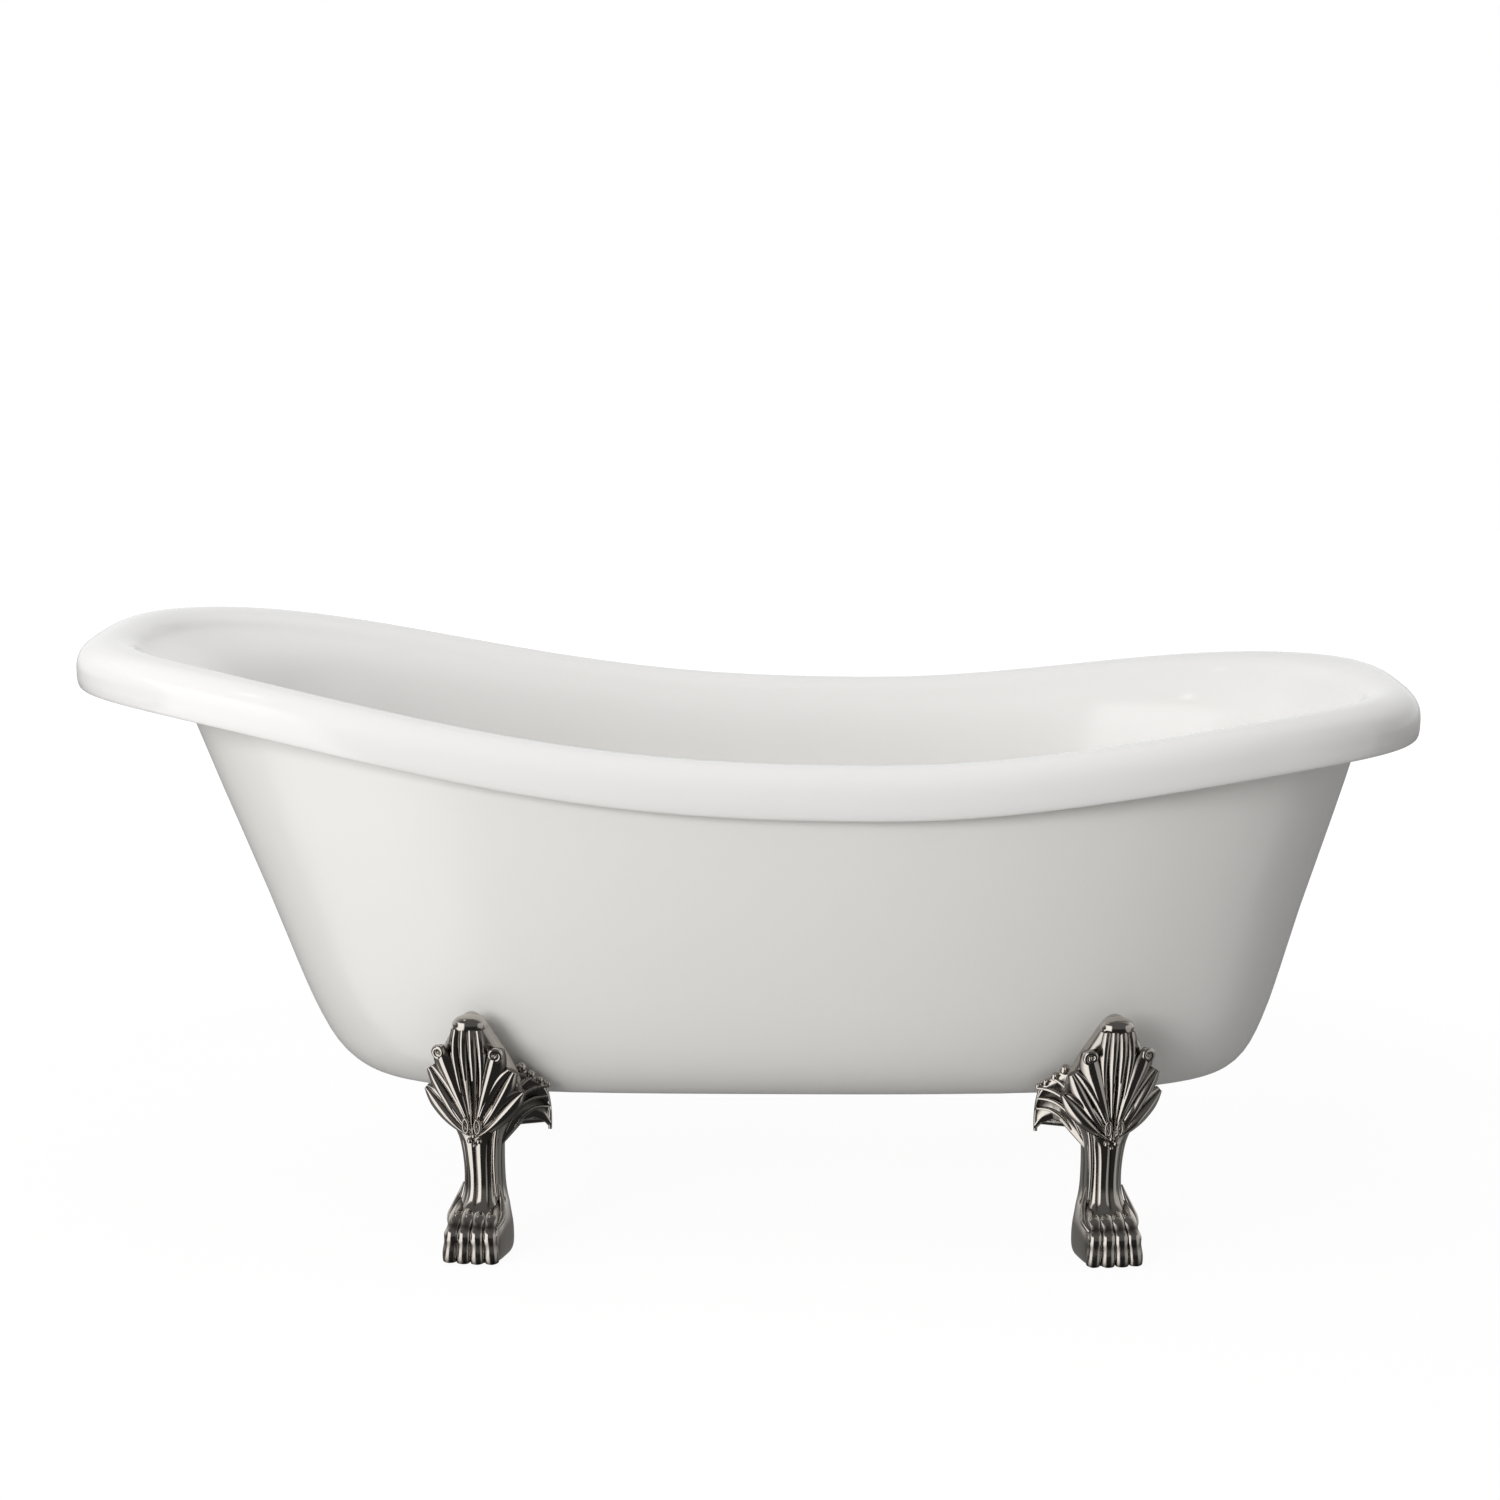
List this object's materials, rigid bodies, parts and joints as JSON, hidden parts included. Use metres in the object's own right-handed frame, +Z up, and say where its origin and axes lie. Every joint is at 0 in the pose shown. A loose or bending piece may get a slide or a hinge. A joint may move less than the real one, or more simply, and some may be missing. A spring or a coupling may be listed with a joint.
{
  "type": "clawfoot bathtub",
  "caption": "Freestanding slipper bathtub: double-walled white shell with a rolled rim that rises at both ends, on ornate metal claw feet, with a pop-up waste and a wall overflow.",
  "frame": {"origin": "on the floor, under the middle of the tub's length and width", "axes": "+X along the tub from the high slipper end to the waste end, +Y across it to the rear, +Z up"},
  "size_m": [1.7, 0.77, 0.7465],
  "materials": {
    "acrylic": "cast acrylic sheet, vacuum formed and polished, gloss white",
    "skirt": "acrylic skirt, gloss white, glass-fibre backed",
    "casting": "sand cast, polished and chrome plated, darker in the hollows",
    "chrome": "polished chrome plate on brass",
    "brass": "turned brass, plain",
    "zinc": "bright zinc plate on steel",
    "nylon": "moulded nylon, matt black",
    "rubber": "moulded rubber, matt black",
    "timber": "moisture-resistant board, unfinished",
    "acetal": "moulded acetal, off-white"
  },
  "bodies": {
    "tub": {"inner_shell": "acrylic", "outer_skirt": "skirt", "base_board": "timber", "support_blocks": "timber", "tee_nuts": "zinc", "foot_bolts": "zinc", "foot_washers": "zinc", "drain_flange": "chrome", "drain_gasket_upper": "rubber", "drain_gasket_lower": "rubber", "waste_tee": "brass", "drain_lock_nut": "brass", "tailpiece": "chrome", "tailpiece_nut": "chrome", "plug_cartridge": "acetal", "plug_spring": "zinc", "overflow_faceplate": "chrome", "overflow_screw": "chrome", "overflow_gasket": "rubber", "overflow_elbow": "brass", "overflow_pipe": "brass", "overflow_nuts": "brass", "foot_front_left": "casting", "foot_front_right": "casting", "foot_rear_left": "casting", "foot_rear_right": "casting"},
    "plug": {"plug_cap": "chrome", "plug_seal": "rubber", "plug_stem": "brass"},
    "pad_front_left": {"levelling_pad_front_left": "nylon"},
    "stud_front_left": {"levelling_stud_front_left": "zinc"},
    "pad_front_right": {"levelling_pad_front_right": "nylon"},
    "stud_front_right": {"levelling_stud_front_right": "zinc"},
    "pad_rear_left": {"levelling_pad_rear_left": "nylon"},
    "stud_rear_left": {"levelling_stud_rear_left": "zinc"},
    "pad_rear_right": {"levelling_pad_rear_right": "nylon"},
    "stud_rear_right": {"levelling_stud_rear_right": "zinc"}
  },
  "joints": [
    {"name": "plug_lift", "type": "slide", "parent": "tub", "child": "plug", "axis": [0, 0, 1], "range_m": [0, 0.009], "deforming": ["plug_spring"]},
    {"name": "pad_height_front_left", "type": "slide", "parent": "tub", "child": "pad_front_left", "axis": [0, 0, -1], "range_m": [0, 0.012]},
    {"name": "stud_turn_front_left", "type": "hinge", "parent": "pad_front_left", "child": "stud_front_left", "pos_m": [-0.32788, -0.29949, 0.011], "axis": [0, 0, -1], "range_deg": [0, 2880]},
    {"name": "pad_height_front_right", "type": "slide", "parent": "tub", "child": "pad_front_right", "axis": [0, 0, -1], "range_m": [0, 0.012]},
    {"name": "stud_turn_front_right", "type": "hinge", "parent": "pad_front_right", "child": "stud_front_right", "pos_m": [0.44388, -0.29949, 0.011], "axis": [0, 0, -1], "range_deg": [0, 2880]},
    {"name": "pad_height_rear_left", "type": "slide", "parent": "tub", "child": "pad_rear_left", "axis": [0, 0, -1], "range_m": [0, 0.012]},
    {"name": "stud_turn_rear_left", "type": "hinge", "parent": "pad_rear_left", "child": "stud_rear_left", "pos_m": [-0.32788, 0.29949, 0.011], "axis": [0, 0, -1], "range_deg": [0, 2880]},
    {"name": "pad_height_rear_right", "type": "slide", "parent": "tub", "child": "pad_rear_right", "axis": [0, 0, -1], "range_m": [0, 0.012]},
    {"name": "stud_turn_rear_right", "type": "hinge", "parent": "pad_rear_right", "child": "stud_rear_right", "pos_m": [0.44388, 0.29949, 0.011], "axis": [0, 0, -1], "range_deg": [0, 2880]}
  ],
  "couplings": [
    {"joint": "stud_turn_front_left", "follows": "pad_height_front_left", "rad_per_m": 4188.8},
    {"joint": "stud_turn_front_right", "follows": "pad_height_front_right", "rad_per_m": 4188.8},
    {"joint": "stud_turn_rear_left", "follows": "pad_height_rear_left", "rad_per_m": 4188.8},
    {"joint": "stud_turn_rear_right", "follows": "pad_height_rear_right", "rad_per_m": 4188.8}
  ]
}
